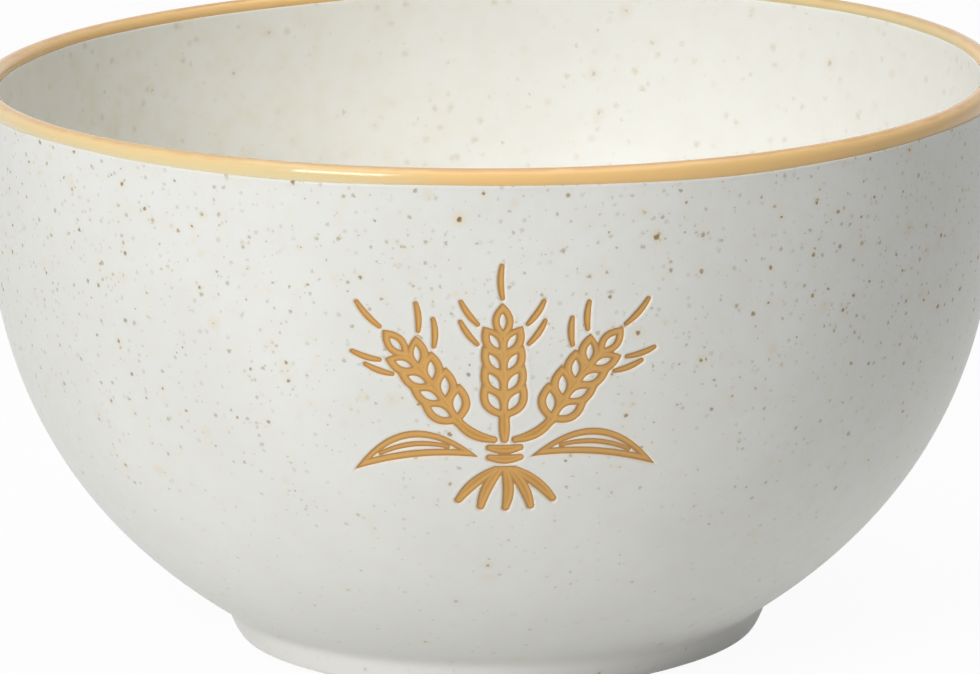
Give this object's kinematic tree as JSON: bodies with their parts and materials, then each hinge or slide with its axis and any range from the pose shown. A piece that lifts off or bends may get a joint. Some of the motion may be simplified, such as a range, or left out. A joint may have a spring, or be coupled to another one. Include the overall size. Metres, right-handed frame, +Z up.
{
  "type": "bowl",
  "caption": "Round footed stoneware bowl with a speckled white glaze, a caramel lip and a pressed wheat-sheaf ornament filled with caramel glaze.",
  "frame": {"origin": "centre of the foot's resting face, on the plane that the bowl stands on", "axes": "+Z up through the mouth along the axis of the bowl, the ornament on the side that faces -Y"},
  "size_m": [0.15, 0.15, 0.0843],
  "materials": {
    "stoneware": "bare fired clay, matt, buff",
    "white_glaze": "satin white glaze with fine brown iron specks",
    "caramel_glaze": "glossy honey-caramel glaze, darker where it pools"
  },
  "bodies": {
    "root": {"clay_bowl": "stoneware", "foot_ring": "stoneware", "outer_white_glaze": "white_glaze", "inner_white_glaze": "white_glaze", "base_white_glaze": "white_glaze", "rim_caramel_glaze": "caramel_glaze", "middle_ear_inlay": "caramel_glaze", "left_ear_inlay": "caramel_glaze", "right_ear_inlay": "caramel_glaze", "middle_awn_inlays": "caramel_glaze", "left_awn_inlays": "caramel_glaze", "right_awn_inlays": "caramel_glaze", "left_leaf_inlay": "caramel_glaze", "right_leaf_inlay": "caramel_glaze", "stalk_inlays": "caramel_glaze", "tie_inlays": "caramel_glaze"}
  },
  "joints": []
}
